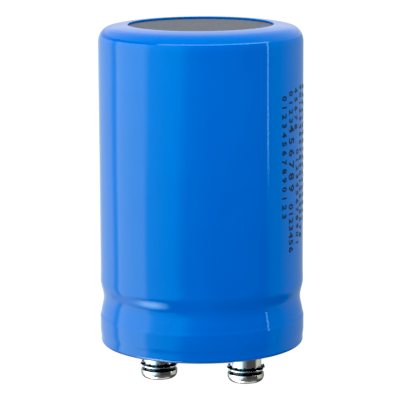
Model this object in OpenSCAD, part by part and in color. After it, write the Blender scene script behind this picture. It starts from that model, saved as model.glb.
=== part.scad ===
// Screw-terminal aluminium electrolytic capacitor, standing on the heads of its two terminal screws.
// Millimetres. The can's axis is Z with the closed end up, and the terminals lie along X.

/* [Can] */
// Outside diameter of the drawn aluminium can
can_d = 50.8; // [44:0.1:64]
// Height of the can, from its rolled rim to its closed end
can_h = 79.4; // [66:0.1:120]
// Wall of the can
can_wall = 0.9; // [0.7:0.05:1.1]
// Thickness of the can's closed end
can_end_t = 1.2; // [0.9:0.05:1.5]
// Outside radius of the corner round the closed end
can_corner_r = 3.2; // [2.5:0.1:4.5]
// Outside radius where the wall turns in to the rolled rim
rim_r = 1.2; // [1.15:0.05:1.5]
// How far the rolled rim reaches in from the can's outside
rim_w = 3.4; // [2.6:0.1:4.2]

/* [Bead] */
// Height of the middle of the pressed bead above the rim
bead_mid_h = 11.05; // [9.5:0.05:16]
// Length of wall that the bead takes up
bead_w = 9.6; // [7:0.1:11]
// Depth of the bead in the can
bead_depth = 1.2; // [0.9:0.05:1.6]

/* [Sleeve] */
// Thickness of the shrunk sleeve on the wall
sleeve_t = 0.3; // [0.2:0.05:0.5]
// Width of the sleeve's band on the closed end, from the can's outside to the opening
sleeve_band_w = 7.2; // [6:0.1:9]
// Thickness of the sleeve at the opening's edge, above the end disc
sleeve_lip_t = 0.6; // [0.5:0.05:0.8]
// Rounding of the opening's upper edge
sleeve_edge_r = 0.2; // [0.1:0.05:0.4]
// Thickness of the sleeve over the can's corner
sleeve_top_t = 0.4; // [0.3:0.05:0.45]
// How far the sleeve's top falls from the opening to the shoulder
sleeve_fall = 0.5; // [0.3:0.05:0.55]
// How much wider the sleeve's rounded shoulder is than the can's corner
sleeve_ease = 0.1; // [0:0.05:0.3]
// Depth of the dip that the sleeve makes over the bead
sleeve_bead_depth = 0.95; // [0.6:0.05:1.2]
// Thickness of the sleeve's foot under the rolled rim
sleeve_foot_t = 0.5; // [0.3:0.05:0.6]
// Width of the sleeve's foot, inwards from the can's outside
sleeve_foot_w = 2; // [1.6:0.1:2.4]
// Radius of the sleeve's turn under the rim
sleeve_foot_r = 1; // [0.8:0.05:1.5]

/* [End disc] */
// How far the insulating disc on the closed end reaches under the sleeve's edge
end_disc_lap = 1.3; // [0.8:0.1:1.6]
// Thickness of the insulating disc
end_disc_t = 0.6; // [0.4:0.05:0.7]

/* [Header] */
// Radial clearance between the header and the can's wall
header_gap = 0.3; // [0.2:0.05:0.4]
// Depth of the header's outer face inside the rolled rim
header_recess = 1.5; // [1.2:0.1:2]
// Radial width of the gasket's seat in the header's edge
gasket_seat_w = 2.4; // [2:0.1:3]
// Height of the squeezed gasket
gasket_t = 1.8; // [1.4:0.1:2.2]
// Clearance round the gasket
gasket_gap = 0.1; // [0.05:0.05:0.2]
// Rounding of the gasket's edges
gasket_edge_r = 0.4; // [0.3:0.05:0.5]
// Diameter of the raised boss round each terminal
boss_d = 12.4; // [11:0.1:14]
// Height of the boss
boss_h = 1.2; // [0.8:0.1:1.5]

/* [Vent] */
// Diameter of the rubber vent plug's body
vent_d = 5; // [4:0.1:6]
// Diameter of the plug's two flanges
vent_flange_d = 7; // [6.6:0.1:8]
// Thickness of each flange
vent_flange_t = 0.8; // [0.6:0.1:1]
// Distance of the vent from the can's axis
vent_y = 12; // [10:0.1:14]

/* [Terminals] */
// Distance between the two terminals' centres
terminal_pitch = 22.6; // [20:0.1:26]
// Diameter of each terminal post
post_d = 8; // [7.4:0.1:9]
// Length of post that stands below the can's rim
post_stand = 6.7; // [5:0.1:9]
// Diameter of the collar that anchors the post in the header
collar_d = 10.4; // [9.6:0.1:11]
// Thickness of the collar
collar_t = 2; // [1.5:0.1:2.5]
// Depth of the collar inside the header's outer face
collar_depth = 1.2; // [1:0.1:1.6]
// Diameter of the riveted stem
stem_d = 6; // [5:0.1:6.4]
// Diameter of the riveted head on the stem's inner end
rivet_head_d = 8; // [7.4:0.1:8.4]
// Thickness of the riveted head
rivet_head_t = 0.9; // [0.6:0.1:1.2]
// Diameter of the washer under the riveted head
rivet_washer_d = 9.2; // [8.6:0.1:9.8]
// Thickness of the washer under the riveted head
rivet_washer_t = 0.8; // [0.5:0.1:1]

/* [Terminal screws] */
// Outside diameter of the screw's thread
thread_d = 4.8; // [4:0.1:5]
// Radial clearance between the thread and the threaded hole
thread_gap = 0.05; // [0.02:0.01:0.1]
// Length of the screw under its head
screw_len = 9.5; // [7:0.1:10]
// Depth of the threaded hole in the post
hole_depth = 10; // [9.2:0.1:10.5]
// Bevel on the end of the thread
thread_bevel = 0.5; // [0.3:0.1:0.7]
// Diameter of the pan head
head_d = 9.25; // [8.8:0.05:9.6]
// Height of the pan head
head_h = 2.3; // [2.1:0.1:3]
// Radius of the pan head's rounded edge
head_edge_r = 1.5; // [1:0.1:1.8]
// Width across the cross recess at the head's face
recess_w = 4.8; // [4:0.1:5.2]
// Width of each slot of the cross recess
recess_slot = 1.1; // [0.9:0.1:1.3]
// Depth of the cross recess
recess_depth = 1.6; // [1.2:0.1:1.8]
// Diameter of the recess at its floor
recess_floor_d = 2; // [1.6:0.1:2.4]

/* [Washers] */
// Radial clearance between the thread and the washers
washer_gap = 0.15; // [0.1:0.05:0.25]
// Outside diameter of the split lock washer
lock_d = 8.5; // [8:0.1:9]
// Thickness of the split lock washer
lock_t = 0.8; // [0.7:0.05:1.2]
// Width of the lock washer's cut
lock_cut = 0.5; // [0.3:0.1:0.8]
// Slant of the lock washer's cut
lock_slant = 30; // [15:5:40]
// Direction that the lock washer's cut faces, from +X
lock_turn = -135; // [-180:5:180]
// Outside diameter of the flat washer
flat_d = 9; // [8.8:0.1:9.6]
// Thickness of the flat washer
flat_t = 0.45; // [0.4:0.05:0.8]
// How far the star washer's teeth reach beyond the post and the flat washer
star_reach = 0.6; // [0.4:0.1:1]
// Radial width of the star washer's plain ring
star_ring_w = 1.35; // [1:0.05:1.4]
// Thickness of the star washer
star_t = 0.45; // [0.4:0.05:0.6]
// Number of teeth on the star washer
star_teeth = 10; // [8:1:12]
// Width of each tooth
star_tooth_w = 1.5; // [1.2:0.1:1.6]
// Twist of each tooth's tip
star_twist = 30; // [20:5:40]

/* [Wound element] */
// Diameter of the hole that the winding mandrel leaves
core_d = 6; // [4:0.5:8]
// Thickness of the wrap round the roll
wrap_t = 0.3; // [0.2:0.05:0.5]
// Length of roll left bare at each end of the wrap
wrap_inset = 3; // [1:0.5:6]
// Clearance between the wrapped roll and the can's wall
roll_gap = 0.4; // [0.3:0.05:0.8]
// Thickness of the insulating disc between the roll and the header
tab_disc_t = 0.8; // [0.5:0.1:1.2]
// Thickness of each aluminium tab
tab_t = 0.3; // [0.2:0.05:0.4]
// Width of each tab
tab_w = 6; // [5:0.5:7]
// Diameter of the tab's eye round the stem
tab_eye_d = 10; // [9.4:0.1:10.4]
// Inside radius of the tab's bend
tab_bend_r = 0.6; // [0.4:0.1:1]
// Distance from the eye's edge to the tab's upright leg
tab_reach = 0.9; // [0.4:0.1:1.5]
// Length of tab inside the roll
tab_depth = 12; // [6:1:30]
// Clearance round each tab where it passes the disc and the roll
tab_gap = 0.15; // [0.1:0.05:0.3]

/* [Hidden] */
$fn = 96;

arc_steps = 10;     // pieces in a quarter-round of an outline
bead_steps = 20;    // pieces in the bead's outline
cut_over = 1;       // how far a cut runs past the face that it opens

// Heights, upwards from the screw heads' faces
lock_z = head_h;
flat_z = lock_z + lock_t;
star_z = flat_z + flat_t;
post_z = star_z + star_t;
rim_z = post_z + post_stand;
foot_z = rim_z - sleeve_foot_t;
header_z = rim_z + header_recess;
boss_z = header_z - boss_h;
gasket_z = rim_z + can_wall;
seat_z = gasket_z + gasket_t;
collar_z = header_z + collar_depth;
bead_mid = rim_z + bead_mid_h;
bead_high = bead_mid + bead_w / 2;
can_top = rim_z + can_h;
corner_z = can_top - can_corner_r;
disc_top = can_top + end_disc_t;
sleeve_top = disc_top + sleeve_lip_t;
shoulder_top = sleeve_top - sleeve_fall;

// The header's inner edge stops where the bead has come in by the header's clearance
header_top = bead_mid - bead_w / 360 * acos(2 * header_gap / bead_depth - 1);
tab_z = header_top;
rivet_washer_z = tab_z + tab_t;
rivet_head_z = rivet_washer_z + rivet_washer_t;
post_top = rivet_head_z + rivet_head_t;
tab_disc_z = bead_high;
roll_z = tab_disc_z + tab_disc_t;
roll_top = corner_z;
base_disc_t = can_corner_r - can_end_t;

// Radii
can_r = can_d / 2;
can_in_r = can_r - can_wall;
corner_x = can_r - can_corner_r;
rim_x = can_r - rim_r;
lip_x = can_r - rim_w;
foot_x = can_r - sleeve_foot_w;
sleeve_r = can_r + sleeve_t;
open_r = can_r - sleeve_band_w;
end_disc_r = open_r + end_disc_lap;
shoulder_w = can_corner_r + sleeve_ease;
header_r = can_in_r - header_gap;
hub_r = header_r - gasket_seat_w;
washer_in_r = thread_d / 2 + washer_gap;
star_root_r = max(post_d, flat_d) / 2;
roll_r = can_in_r - roll_gap - wrap_t;
terminal_x = terminal_pitch / 2;
tab_leg = tab_eye_d / 2 + tab_reach;
tab_leg_x = terminal_x - tab_leg - tab_t;

// Points along an elliptical arc from angle a0 to a1
function arc(x, z, rx, rz, a0, a1) =
    [for (i = [0:arc_steps]) let (a = a0 + (a1 - a0) * i / arc_steps) [x + rx * cos(a), z + rz * sin(a)]];

// How far a bead of this depth comes in at height z: one cosine wave over the bead's length
function bead(z, depth) = depth * (1 + cos(360 * (z - bead_mid) / bead_w)) / 2;

// Points down a wall of radius r that dips at the bead
function beaded_wall(r, depth) =
    [for (i = [0:bead_steps]) let (z = bead_high - bead_w * i / bead_steps) [r - bead(z, depth), z]];

// The same points from the bottom up
function reversed(points) = [for (i = [len(points) - 1:-1:0]) points[i]];

module ring(r_out, r_in, z, h) {
    translate([0, 0, z]) difference() {
        cylinder(r = r_out, h = h);
        translate([0, 0, -cut_over]) cylinder(r = r_in, h = h + 2 * cut_over);
    }
}

// Puts a piece at the terminal on this side: -1 is left, 1 is right
module at_terminal(side) {
    translate([side * terminal_x, 0, 0]) children();
}

// Shrunk sleeve: over the shoulder and the end disc's edge, into the bead and under the rim
module sleeve() {
    outside = concat(
        arc(open_r + sleeve_edge_r, sleeve_top - sleeve_edge_r, sleeve_edge_r, sleeve_edge_r, 180, 90),
        arc(sleeve_r - shoulder_w, corner_z, shoulder_w, shoulder_top - corner_z, 90, 0),
        beaded_wall(sleeve_r, sleeve_bead_depth),
        arc(sleeve_r - sleeve_foot_r, foot_z + sleeve_foot_r, sleeve_foot_r, sleeve_foot_r, 0, -90),
        [[foot_x, foot_z]]);
    inside = concat(
        [[foot_x, rim_z]],
        arc(rim_x, rim_z + rim_r, rim_r, rim_r, -90, 0),
        reversed(beaded_wall(can_r, sleeve_bead_depth)),
        arc(corner_x, corner_z, can_corner_r, shoulder_top - sleeve_top_t - corner_z, 0, 90),
        [[end_disc_r, disc_top], [open_r, disc_top]]);
    color("royalblue") rotate_extrude() polygon(concat(outside, inside));
}

// Insulating disc that the sleeve's top edge holds on the closed end
module end_disc() {
    color("dimgray") translate([0, 0, can_top]) cylinder(r = end_disc_r, h = end_disc_t);
}

// Drawn can: one aluminium cup with a pressed bead and a rim rolled over the gasket
module can() {
    outside = concat(
        [[0, can_top]],
        arc(corner_x, corner_z, can_corner_r, can_corner_r, 90, 0),
        beaded_wall(can_r, bead_depth),
        arc(rim_x, rim_z + rim_r, rim_r, rim_r, 0, -90),
        arc(lip_x, rim_z + can_wall / 2, can_wall / 2, can_wall / 2, 270, 90));
    inside = concat(
        arc(rim_x, rim_z + rim_r, rim_r - can_wall, rim_r - can_wall, -90, 0),
        reversed(beaded_wall(can_in_r, bead_depth)),
        arc(corner_x, corner_z, can_corner_r - can_wall, can_corner_r - can_end_t, 0, 90),
        [[0, can_top - can_end_t]]);
    color("silver") rotate_extrude() polygon(concat(outside, inside));
}

// Rubber gasket between the rolled rim and the header's edge
module gasket() {
    in_x = hub_r + gasket_gap + gasket_edge_r;
    out_x = can_in_r - gasket_gap - gasket_edge_r;
    low_z = gasket_z + gasket_edge_r;
    high_z = seat_z - gasket_edge_r;
    color("#202020") rotate_extrude() polygon(concat(
        arc(in_x, low_z, gasket_edge_r, gasket_edge_r, 180, 270),
        arc(out_x, low_z, gasket_edge_r, gasket_edge_r, -90, 0),
        arc(out_x, high_z, gasket_edge_r, gasket_edge_r, 0, 90),
        arc(in_x, high_z, gasket_edge_r, gasket_edge_r, 90, 180)));
}

// Moulded header: a hub inside the gasket, a flange against the bead, and a boss for each terminal
module header() {
    color("#2b2622") difference() {
        union() {
            translate([0, 0, header_z]) cylinder(r = hub_r, h = header_top - header_z);
            translate([0, 0, seat_z]) cylinder(r = header_r, h = header_top - seat_z);
            for (side = [-1, 1]) at_terminal(side)
                translate([0, 0, boss_z]) cylinder(d = boss_d, h = boss_h + cut_over);
        }
        for (side = [-1, 1]) at_terminal(side) {
            translate([0, 0, boss_z - cut_over]) cylinder(d = post_d, h = collar_z - boss_z + cut_over);
            translate([0, 0, collar_z]) cylinder(d = collar_d, h = collar_t);
            translate([0, 0, collar_z]) cylinder(d = stem_d, h = header_top - collar_z + cut_over);
        }
        translate([0, vent_y, header_z - cut_over])
            cylinder(d = vent_d, h = header_top - header_z + 2 * cut_over);
    }
}

// Rubber plug that blows out if the can's pressure rises, snapped into the header by its two flanges
module vent_plug() {
    color("#3a3a3a") translate([0, vent_y, 0]) {
        translate([0, 0, header_z - vent_flange_t]) cylinder(d = vent_flange_d, h = vent_flange_t);
        translate([0, 0, header_z - vent_flange_t])
            cylinder(d = vent_d, h = header_top - header_z + 2 * vent_flange_t);
        translate([0, 0, header_top]) cylinder(d = vent_flange_d, h = vent_flange_t);
    }
}

// Aluminium post moulded into the header: threaded end, anchoring collar, riveted stem
module terminal_post(side) {
    color("lightgray") at_terminal(side) difference() {
        union() {
            translate([0, 0, post_z]) cylinder(d = post_d, h = collar_z - post_z);
            translate([0, 0, collar_z]) cylinder(d = collar_d, h = collar_t);
            translate([0, 0, collar_z]) cylinder(d = stem_d, h = post_top - collar_z);
            translate([0, 0, rivet_head_z]) cylinder(d = rivet_head_d, h = rivet_head_t);
        }
        translate([0, 0, post_z - cut_over])
            cylinder(r = thread_d / 2 + thread_gap, h = hole_depth + cut_over);
    }
}

// Pan-head machine screw with a cross recess, its head's face down
module screw(side) {
    shank_r = thread_d / 2;
    tip_z = head_h + screw_len;
    color("gainsboro") at_terminal(side) difference() {
        rotate_extrude() polygon(concat(
            [[0, 0]],
            arc(head_d / 2 - head_edge_r, head_edge_r, head_edge_r, head_edge_r, -90, 0),
            [[head_d / 2, head_h], [shank_r, head_h], [shank_r, tip_z - thread_bevel],
                [shank_r - thread_bevel, tip_z], [0, tip_z]]));
        cross_recess();
    }
}

// Two crossed slots inside a cone that narrows to the recess's floor
module cross_recess() {
    intersection() {
        union() for (turn = [0, 90]) rotate([0, 0, turn])
            translate([-recess_w / 2, -recess_slot / 2, -cut_over])
                cube([recess_w, recess_slot, recess_depth + cut_over]);
        rotate_extrude() polygon([[0, -cut_over], [recess_w / 2, -cut_over], [recess_w / 2, 0],
            [recess_floor_d / 2, recess_depth], [0, recess_depth]]);
    }
}

// Split lock washer, tightened flat, with its slanted cut
module lock_washer(side) {
    cut_h = 2 * (lock_t + cut_over);
    color("silver") at_terminal(side) difference() {
        ring(lock_d / 2, washer_in_r, lock_z, lock_t);
        translate([0, 0, lock_z + lock_t / 2]) rotate([0, 0, lock_turn]) rotate([lock_slant, 0, 0])
            translate([0, -lock_cut / 2, -cut_h / 2]) cube([lock_d, lock_cut, cut_h]);
    }
}

// Plain washer
module flat_washer(side) {
    color("gainsboro") at_terminal(side) ring(flat_d / 2, washer_in_r, flat_z, flat_t);
}

// Star washer: flat between the post and the flat washer, twisted teeth beyond them
module star_washer(side) {
    join = star_t / 2;
    color("silver") at_terminal(side) union() {
        ring(washer_in_r + star_ring_w, washer_in_r, star_z, star_t);
        for (i = [0:star_teeth - 1]) rotate([0, 0, 360 * (i + 0.5) / star_teeth]) {
            translate([washer_in_r + join, -star_tooth_w / 2, star_z])
                cube([star_root_r - washer_in_r, star_tooth_w, star_t]);
            translate([star_root_r, 0, star_z + star_t / 2]) rotate([star_twist, 0, 0])
                translate([0, -star_tooth_w / 2, -star_t / 2]) cube([star_reach, star_tooth_w, star_t]);
        }
    }
}

// Washer that the stem's end is riveted over
module rivet_washer(side) {
    color("silver") at_terminal(side) ring(rivet_washer_d / 2, stem_d / 2, rivet_washer_z, rivet_washer_t);
}

// Aluminium tab from the roll: an eye round the stem, a bend, and a leg up between the turns
module tab(side) {
    bend_out = tab_bend_r + tab_t;
    bend_x = tab_leg - tab_bend_r;
    color("lightsteelblue") at_terminal(side) mirror([side < 0 ? 0 : 1, 0, 0]) {
        translate([0, 0, tab_z]) linear_extrude(tab_t) difference() {
            union() {
                circle(d = tab_eye_d);
                translate([0, -tab_w / 2]) square([bend_x, tab_w]);
            }
            circle(d = stem_d);
        }
        translate([0, tab_w / 2, 0]) rotate([90, 0, 0]) linear_extrude(tab_w) polygon(concat(
            arc(bend_x, tab_z + bend_out, bend_out, bend_out, -90, 0),
            [[tab_leg + tab_t, roll_z + tab_depth], [tab_leg, roll_z + tab_depth]],
            arc(bend_x, tab_z + bend_out, tab_bend_r, tab_bend_r, 0, -90)));
    }
}

// The clear way round both tabs' legs, from height z over height h
module tab_slots(z, h) {
    for (side = [-1, 1])
        translate([side * (tab_leg_x + tab_t / 2) - tab_t / 2 - tab_gap, -tab_w / 2 - tab_gap, z])
            cube([tab_t + 2 * tab_gap, tab_w + 2 * tab_gap, h]);
}

// Insulating disc that keeps the roll off the riveted heads
module tab_disc() {
    color("tan") difference() {
        translate([0, 0, tab_disc_z]) cylinder(r = can_in_r - roll_gap, h = tab_disc_t);
        tab_slots(tab_disc_z - cut_over, tab_disc_t + 2 * cut_over);
    }
}

// The wound foils and paper, as one roll with the mandrel's hole
module winding() {
    color("beige") difference() {
        ring(roll_r, core_d / 2, roll_z, roll_top - roll_z);
        tab_slots(roll_z - cut_over, tab_depth + tab_gap + cut_over);
    }
}

// Tape that holds the roll's last turn
module winding_wrap() {
    color("khaki") ring(roll_r + wrap_t, roll_r, roll_z + wrap_inset, roll_top - roll_z - 2 * wrap_inset);
}

// Insulating disc between the roll and the can's closed end
module base_disc() {
    color("burlywood") translate([0, 0, roll_top]) cylinder(r = corner_x, h = base_disc_t);
}

sleeve();
end_disc();
can();
gasket();
header();
vent_plug();
terminal_post(-1);  // terminal_post_left
terminal_post(1);  // terminal_post_right
screw(-1);  // screw_left
screw(1);  // screw_right
lock_washer(-1);  // lock_washer_left
lock_washer(1);  // lock_washer_right
flat_washer(-1);  // flat_washer_left
flat_washer(1);  // flat_washer_right
star_washer(-1);  // star_washer_left
star_washer(1);  // star_washer_right
rivet_washer(-1);  // rivet_washer_left
rivet_washer(1);  // rivet_washer_right
tab(-1);  // tab_left
tab(1);  // tab_right
tab_disc();
winding();
winding_wrap();
base_disc();
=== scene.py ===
# %% [markdown]
# # A large can capacitor with screw terminals
#
# The part is a drawn aluminium can in a glossy blue shrunk sleeve, stood on the heads of its two
# terminal screws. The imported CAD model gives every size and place. The script keeps the CAD pieces
# whose shapes are right, gives them real finishes, and builds new surfaces where the real piece has
# more shape than the CAD has: the sleeve with its soft edges and slight waves, the printing on it,
# and the screws and washers.

import bmesh
import bpy
import numpy as np
from mathutils import Matrix, Vector


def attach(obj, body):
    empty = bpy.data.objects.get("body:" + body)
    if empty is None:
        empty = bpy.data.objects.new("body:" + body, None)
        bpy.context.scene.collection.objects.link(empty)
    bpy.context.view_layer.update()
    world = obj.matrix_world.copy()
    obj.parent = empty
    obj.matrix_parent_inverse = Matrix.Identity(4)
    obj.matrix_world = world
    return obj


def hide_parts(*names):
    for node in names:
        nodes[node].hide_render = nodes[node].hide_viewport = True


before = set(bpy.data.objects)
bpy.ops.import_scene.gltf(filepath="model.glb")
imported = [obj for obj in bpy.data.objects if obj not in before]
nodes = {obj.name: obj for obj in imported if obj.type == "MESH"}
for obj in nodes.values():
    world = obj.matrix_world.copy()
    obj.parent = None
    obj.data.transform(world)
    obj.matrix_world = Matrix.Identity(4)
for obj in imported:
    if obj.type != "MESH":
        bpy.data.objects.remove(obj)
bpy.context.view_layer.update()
scene = bpy.context.scene
MM = 0.001  # sizes below are in millimetres, and Blender's are in metres

# %% [markdown]
# ## The camera
#
# A small product is usually taken from far off through a long lens, so its sides stay parallel.
# The camera stands a little above the part and a little round towards the right terminal. It could
# be aimed with a Track To constraint, but three turns written out keep the slight tilt of a camera
# that was not quite level.

# %% Camera
CAMERA_TURN = np.radians(11.4)  # round from the front, towards the right terminal
CAMERA_AWAY, CAMERA_HIGH = 571.0, 148.7
CAMERA_DOWN, CAMERA_ASIDE, CAMERA_ROLL = 0.1770, 0.00068, -0.0051  # radians
LENS, SENSOR = 206.3, 36.0

camera = bpy.data.objects.new("camera", bpy.data.cameras.new("camera"))
scene.collection.objects.link(camera)
scene.camera = camera
camera.data.lens, camera.data.sensor_width = LENS, SENSOR
camera.data.clip_start, camera.data.clip_end = 0.02, 50.0
camera.location = Vector((CAMERA_AWAY * np.sin(CAMERA_TURN), -CAMERA_AWAY * np.cos(CAMERA_TURN),
                          CAMERA_HIGH)) * MM
aim = (Matrix.Rotation(CAMERA_TURN + CAMERA_ASIDE, 3, "Z")
       @ Matrix.Rotation(np.pi / 2 - CAMERA_DOWN, 3, "X") @ Matrix.Rotation(CAMERA_ROLL, 3, "Z"))
camera.rotation_euler = aim.to_euler()
print("camera at", [round(v, 4) for v in camera.location])

# %% [markdown]
# ## Nodes by one line each
#
# Shader trees are wired by hand in the editor. In a script, one helper that adds a node, sets its
# properties and fills its sockets, with either a value or another node's output, keeps each tree
# as short as its drawing.

# %% Node helpers
def put(tree, kind, inputs=None, **settings):
    """Adds a node. A socket given another socket is linked to it, and anything else is its value."""
    made = tree.nodes.new(kind)
    for name, value in settings.items():
        setattr(made, name, value)
    for name, value in (inputs or {}).items():
        if isinstance(value, bpy.types.NodeSocket):
            tree.links.new(value, made.inputs[name])
        else:
            made.inputs[name].default_value = value
    return made


def maths(tree, operation, *values):
    """The output of a Math node."""
    return put(tree, "ShaderNodeMath", dict(enumerate(values)), operation=operation).outputs[0]


def span(tree, value, low, high, to_low=0.0, to_high=1.0, kind="LINEAR"):
    """Maps low..high to to_low..to_high and holds it there beyond them."""
    inputs = {"Value": value, "From Min": low, "From Max": high, "To Min": to_low, "To Max": to_high}
    return put(tree, "ShaderNodeMapRange", inputs, interpolation_type=kind).outputs["Result"]


def blend_colours(tree, factor, first, second):
    """The mix of two colours, each of which is a colour or a socket."""
    inputs = {"Factor": factor, "A": first, "B": second}
    made = tree.nodes.new("ShaderNodeMix")
    made.data_type = "RGBA"
    for socket in made.inputs:
        if socket.enabled and socket.name in inputs:
            value = inputs[socket.name]
            if isinstance(value, bpy.types.NodeSocket):
                tree.links.new(value, socket)
            else:
                socket.default_value = value
    return next(s for s in made.outputs if s.enabled)


def grey(value):
    """A neutral colour."""
    return (value, value, value, 1.0)


print("node helpers ready")

# %% [markdown]
# ## The studio
#
# Glossy plastic and plated metal show the room more than themselves: tall soft boxes on the left,
# a darker opening in front to the right, and a thin light edge beyond it. They could be area lamps
# and black cards round the part. A world whose brightness depends on the direction does the same
# with no noise and no lamp to hide, so the bands are written as a list of compass angles, counted
# from the camera and growing to the right. Plain light for matt surfaces, and white behind the part,
# come from the same world by the kind of ray that asks.

# %% Bands of light
# (degrees round from the camera, red, green and blue) from above eye level down to the table
BANDS = [(-180, 0.7, 0.84, 0.84), (-150, 0.8, 0.95, 0.96), (-122, 1.3, 1.5, 1.6), (-116, 0.7, 1.1, 1.5),
         (-112, 0.7, 1.1, 1.5), (-107, 2.3, 2.5, 2.5), (-66, 2.8, 2.9, 2.8), (-57, 1.35, 1.9, 2.1),
         (-24, 1.1, 1.55, 1.85), (-10, 0.3, 0.4, 0.4), (10, 0.1, 0.08, 0.08), (76, 0.1, 0.09, 0.08),
         (88, 0.66, 0.62, 0.52), (115, 0.62, 0.62, 0.54), (142, 0.48, 0.54, 0.5), (160, 0.42, 0.5, 0.5),
         (180, 0.7, 0.84, 0.84)]
# the same for the ceiling
CEILING = [(-180, 0.8), (-130, 0.5), (-115, 0.12), (-66, 0.12), (-50, 1.2), (20, 1.4), (50, 1.6),
           (78, 1.4), (95, 0.9), (180, 0.8)]
# and for the table, which is dark but for a white sheet on the left: seen slanting, and from close by
TABLE = [(-180, 0.12), (-135, 0.3), (-120, 1.3), (-100, 1.9), (-75, 1.5), (-52, 0.15), (180, 0.12)]
NEAR_TABLE = [(-180, 0.15), (-140, 1.3), (-104, 1.4), (-94, 7.0), (-46, 7.0), (-36, 1.4), (-15, 1.4),
              (0, 0.12), (55, 0.12), (75, 0.7), (150, 0.7), (180, 0.15)]
SOFT_LIGHT = [(-180, 0.8), (-120, 1.16), (-60, 1.42), (-20, 1.3), (20, 0.97), (60, 0.78),
              (120, 0.52), (180, 0.8)]
CEILING_EDGE, TABLE_EDGE = (0.59, 0.61), (-0.36, -0.46)  # sines of the heights where they give way
OVERHEAD_EDGE, NEAR_EDGE, UNDERFOOT_EDGE = (0.72, 0.78), (-0.76, -0.84), (-0.93, -0.98)
MIRROR_OVERHEAD, MIRROR_UNDERFOOT = 1.0, 0.85  # what gloss shows straight up and straight down
SOFT_OVERHEAD, SOFT_UNDERFOOT = 1.12, 0.1  # and what lights matt surfaces from there
BLACK_LEVEL = (0.028, 0.018, 0.014)
print("bands of light:", len(BANDS), "round,", len(CEILING), "above and", len(TABLE), "below")

# %% Single lights
# each has its compass angles from and to and how far it fades beyond them, in degrees; the same for
# its heights, as sines; and its brightness
DOOR_EDGE = (79.2, 80.8, 0.8), (-0.15, 1.1, 0.025), 3.4
LAMP_RAIL = (-48, 80, 2), (0.605, 0.68, 0.02), 3.4
WHITE_SHEET = (-78, -64, 24), (-0.72, -0.66, 0.16), 11.0
LEAN = (-58, -13, 20), (-1.1, -0.23, 0.13), 11 / 360  # how far the bands shift there, in turns
CLOSING = 3.6  # how fast upright edges close in with height
SINKING = 0.66  # how far the ceiling's edge sinks on both sides


def compass(tree, angle, stops):
    """A light that follows a list of (degrees, grey) or (degrees, red, green, blue), read off a ramp."""
    ramp = put(tree, "ShaderNodeValToRGB", {"Fac": angle})
    elements = ramp.color_ramp.elements
    while len(elements) < len(stops):
        elements.new(1.0)
    for element, (degrees, *value) in zip(elements, stops):
        element.position = degrees / 360 + 0.5
        element.color = grey(value[0]) if len(value) == 1 else (*value, 1.0)
    return ramp.outputs["Color"]


world = bpy.data.worlds.new("studio")
scene.world = world
world.use_nodes = True
world.cycles.sampling_method = "NONE"  # the light is smooth, and each kind of ray has its own
sky = world.node_tree
sky.nodes.clear()
direction = put(sky, "ShaderNodeTexCoord").outputs["Generated"]
facing = put(sky, "ShaderNodeVectorRotate", {"Vector": direction, "Angle": -CAMERA_TURN},
             rotation_type="Z_AXIS")
axes = put(sky, "ShaderNodeSeparateXYZ", {0: facing.outputs[0]}).outputs
azimuth = maths(sky, "ARCTAN2", axes["X"], maths(sky, "MULTIPLY", axes["Y"], -1.0))
azimuth = span(sky, azimuth, -np.pi, np.pi)
height = axes["Z"]
print("the world's angles:", len(sky.nodes), "nodes")

# %% Masks on the sky
def within(value, low, high, edge):
    """A mask: one between low and high, falling to nothing over edge outside them."""
    return maths(sky, "MULTIPLY", span(sky, value, low - edge, low),
                 span(sky, value, high, high + edge, 1.0, 0.0))


def patch(angle, rise, around, up, brightness):
    """A light that covers only a range of compass angles and a range of heights."""
    low, high, edge = around
    covered = within(angle, low / 360 + 0.5, high / 360 + 0.5, edge / 360)
    return maths(sky, "MULTIPLY", maths(sky, "MULTIPLY", covered, within(rise, *up)), brightness)


# real panels are near: their upright edges seem to close in with height and to lean lower down, and
# the ceiling's edge seems to sink on both sides
aside = maths(sky, "SUBTRACT", azimuth, 0.5)
closing = maths(sky, "POWER", maths(sky, "MAXIMUM", height, 0.0), 3.0)
closing = maths(sky, "MULTIPLY", closing, maths(sky, "MULTIPLY", maths(sky, "ABSOLUTE", aside), -CLOSING))
sinking = maths(sky, "COSINE", maths(sky, "MULTIPLY", aside, np.pi))
rise = maths(sky, "ADD", height, maths(sky, "MULTIPLY_ADD", sinking, -SINKING, SINKING))
upright = maths(sky, "MULTIPLY_ADD", aside, closing, azimuth)
leaning = maths(sky, "ADD", upright, patch(azimuth, height, *LEAN))
print("masks:", len(sky.nodes), "nodes")

# %% World shader
middle = compass(sky, leaning, BANDS)
middle = blend_colours(sky, patch(upright, height, *DOOR_EDGE[:2], 1.0), middle, grey(DOOR_EDGE[2]))
above = maths(sky, "ADD", compass(sky, azimuth, CEILING), patch(upright, rise, *LAMP_RAIL))
above = span(sky, rise, *OVERHEAD_EDGE, above, MIRROR_OVERHEAD)
below = maths(sky, "ADD", patch(azimuth, height, *WHITE_SHEET), compass(sky, azimuth, TABLE))
below = span(sky, height, *NEAR_EDGE, below, compass(sky, azimuth, NEAR_TABLE))
below = span(sky, height, *UNDERFOOT_EDGE, below, MIRROR_UNDERFOOT)
mirror = blend_colours(sky, span(sky, height, *TABLE_EDGE), middle, below)
mirror = blend_colours(sky, span(sky, rise, *CEILING_EDGE), mirror, above)
soft = compass(sky, azimuth, SOFT_LIGHT)
soft = span(sky, height, -0.1, -0.8, soft, SOFT_UNDERFOOT, "SMOOTHSTEP")
soft = span(sky, height, 0.1, 0.9, soft, SOFT_OVERHEAD, "SMOOTHSTEP")
rays = put(sky, "ShaderNodeLightPath").outputs
seen = blend_colours(sky, rays["Is Glossy Ray"], soft, mirror)
seen = blend_colours(sky, rays["Is Camera Ray"], seen, grey(1.0))
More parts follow.
